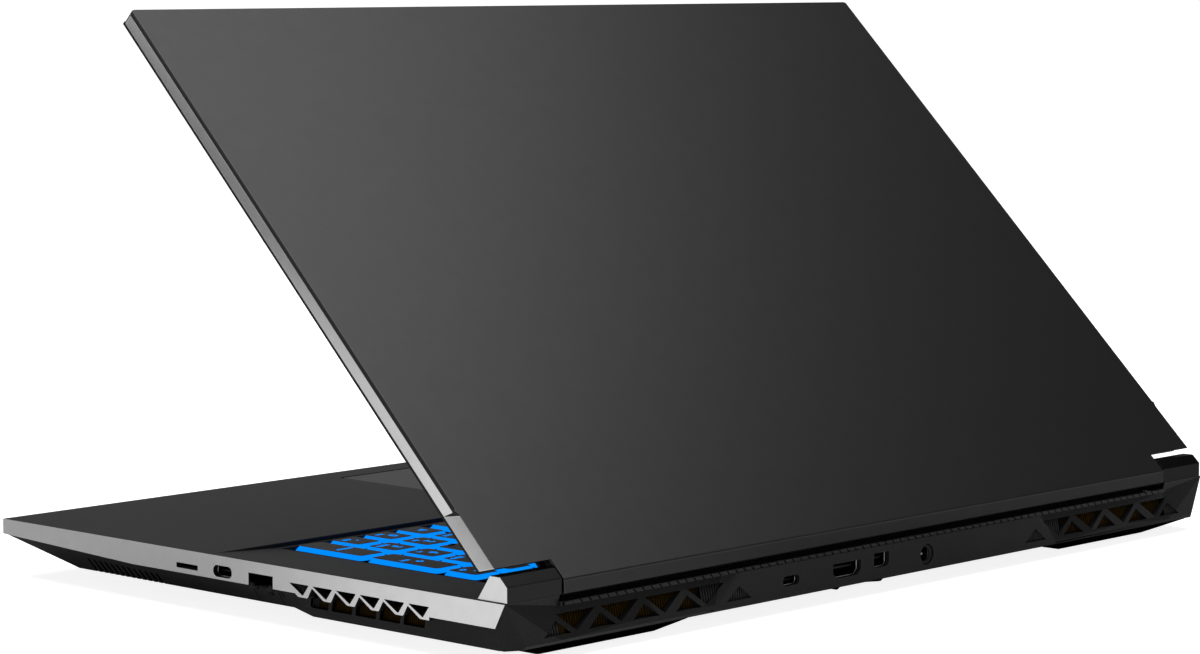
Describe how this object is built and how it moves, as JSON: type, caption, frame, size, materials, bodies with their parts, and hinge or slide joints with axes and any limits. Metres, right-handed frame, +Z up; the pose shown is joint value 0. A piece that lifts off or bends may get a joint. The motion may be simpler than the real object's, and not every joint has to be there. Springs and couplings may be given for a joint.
{
  "type": "laptop computer",
  "caption": "Wide thin laptop computer with a hinged screen lid, lit keyboard with number pad, touchpad, finned cooling vents and port sockets, standing open.",
  "frame": {"origin": "on the table under the middle of the outline", "axes": "+X to the user's right along the hinge, +Y to the rear, +Z up"},
  "size_m": [0.397, 0.2682, 0.2116],
  "materials": {
    "lid_metal": "dark satin anodised",
    "deck_metal": "dark satin anodised",
    "cover_plastic": "fine matte grain",
    "bezel_plastic": "fine matte grain",
    "screen_glass": "anti-glare",
    "key_plastic": "smooth matte",
    "touchpad_glass": "satin",
    "black_rubber": "matte",
    "steel": "plain",
    "socket_steel": "plain",
    "socket_plastic": "matte",
    "copper": "plain",
    "board_laminate": "semi-gloss",
    "chip": "semi-gloss",
    "inner_plastic": "matte"
  },
  "bodies": {
    "base": {"top_case": "deck_metal", "hinge_cap_left": "deck_metal", "hinge_cap_right": "deck_metal", "bottom_cover": "cover_plastic", "rear_panel": "cover_plastic", "rear_teeth": "cover_plastic", "rear_feet": "black_rubber", "front_foot": "black_rubber", "hinge_bracket_left": "steel", "hinge_bracket_right": "steel", "bottom_screws": "steel", "key_plate": "steel", "touchpad_bracket": "steel", "card_slot": "socket_steel", "side_oval_port": "socket_steel", "rear_oval_port": "socket_steel", "wide_video_port": "socket_steel", "small_video_port": "socket_steel", "left_ports": "socket_steel", "network_socket": "socket_plastic", "power_inlet": "socket_plastic", "audio_jacks": "socket_plastic", "heat_pipes": "copper", "rear_fins": "copper", "side_fins": "copper", "cold_plate": "copper", "mainboard": "board_laminate", "memory_modules": "board_laminate", "wireless_card": "board_laminate", "storage_drive": "board_laminate", "processor": "chip", "graphics_chip": "chip", "battery_pack": "inner_plastic", "speakers": "inner_plastic", "fan_housing_left": "inner_plastic", "fan_housing_right": "inner_plastic"},
    "lid": {"lid_cover": "lid_metal", "screen_bezel": "bezel_plastic", "display_panel": "screen_glass", "camera_module": "bezel_plastic", "lid_bumpers": "black_rubber", "hinge_pin_left": "steel", "hinge_pin_right": "steel", "hinge_arm_left": "steel", "hinge_arm_right": "steel", "hinge_screws": "steel"},
    "touchpad": {"touchpad": "touchpad_glass"},
    "power_button": {"power_button": "key_plastic"},
    "fan_rotor_left": {"fan_rotor_left": "inner_plastic"},
    "fan_rotor_right": {"fan_rotor_right": "inner_plastic"},
    "keys_modifier_row": {"keys_modifier_row": "key_plastic"},
    "key_space_bar": {"key_space_bar": "key_plastic"},
    "keys_shift_row": {"keys_shift_row": "key_plastic"},
    "keys_home_row": {"keys_home_row": "key_plastic"},
    "keys_tab_row": {"keys_tab_row": "key_plastic"},
    "keys_number_row": {"keys_number_row": "key_plastic"},
    "keys_number_pad": {"keys_number_pad": "key_plastic"},
    "keys_function_row": {"keys_function_row": "key_plastic"}
  },
  "joints": [
    {"name": "lid_hinge", "type": "hinge", "parent": "base", "child": "lid", "pos_m": [0, 0.12673, 0.0235], "axis": [-1, 0, 0], "range_deg": [-44.73, 85.27]},
    {"name": "keys_modifier_row_press", "type": "slide", "parent": "base", "child": "keys_modifier_row", "axis": [0, 0, -1], "range_m": [0, 0.0015], "stiffness_N_per_m": 400, "springref_m": -0.0015},
    {"name": "key_space_bar_press", "type": "slide", "parent": "base", "child": "key_space_bar", "axis": [0, 0, -1], "range_m": [0, 0.0015], "stiffness_N_per_m": 400, "springref_m": -0.0015},
    {"name": "keys_shift_row_press", "type": "slide", "parent": "base", "child": "keys_shift_row", "axis": [0, 0, -1], "range_m": [0, 0.0015], "stiffness_N_per_m": 400, "springref_m": -0.0015},
    {"name": "keys_home_row_press", "type": "slide", "parent": "base", "child": "keys_home_row", "axis": [0, 0, -1], "range_m": [0, 0.0015], "stiffness_N_per_m": 400, "springref_m": -0.0015},
    {"name": "keys_tab_row_press", "type": "slide", "parent": "base", "child": "keys_tab_row", "axis": [0, 0, -1], "range_m": [0, 0.0015], "stiffness_N_per_m": 400, "springref_m": -0.0015},
    {"name": "keys_number_row_press", "type": "slide", "parent": "base", "child": "keys_number_row", "axis": [0, 0, -1], "range_m": [0, 0.0015], "stiffness_N_per_m": 400, "springref_m": -0.0015},
    {"name": "keys_number_pad_press", "type": "slide", "parent": "base", "child": "keys_number_pad", "axis": [0, 0, -1], "range_m": [0, 0.0015], "stiffness_N_per_m": 400, "springref_m": -0.0015},
    {"name": "keys_function_row_press", "type": "slide", "parent": "base", "child": "keys_function_row", "axis": [0, 0, -1], "range_m": [0, 0.0015], "stiffness_N_per_m": 400, "springref_m": -0.0015},
    {"name": "touchpad_click", "type": "hinge", "parent": "base", "child": "touchpad", "pos_m": [-0.0182, -0.04568, 0.02015], "axis": [1, 0, 0], "range_deg": [0, 0.4], "stiffness_Nm_per_rad": 6, "springref_deg": -0.46},
    {"name": "power_button_press", "type": "slide", "parent": "base", "child": "power_button", "axis": [0, 0, -1], "range_m": [0, 0.0006], "stiffness_N_per_m": 300, "springref_m": -0.0006},
    {"name": "fan_left_spin", "type": "hinge", "parent": "base", "child": "fan_rotor_left", "pos_m": [-0.1365, 0.07972, 0.0096], "axis": [0, 0, 1], "continuous": true},
    {"name": "fan_right_spin", "type": "hinge", "parent": "base", "child": "fan_rotor_right", "pos_m": [0.1365, 0.07972, 0.0096], "axis": [0, 0, 1], "continuous": true}
  ]
}
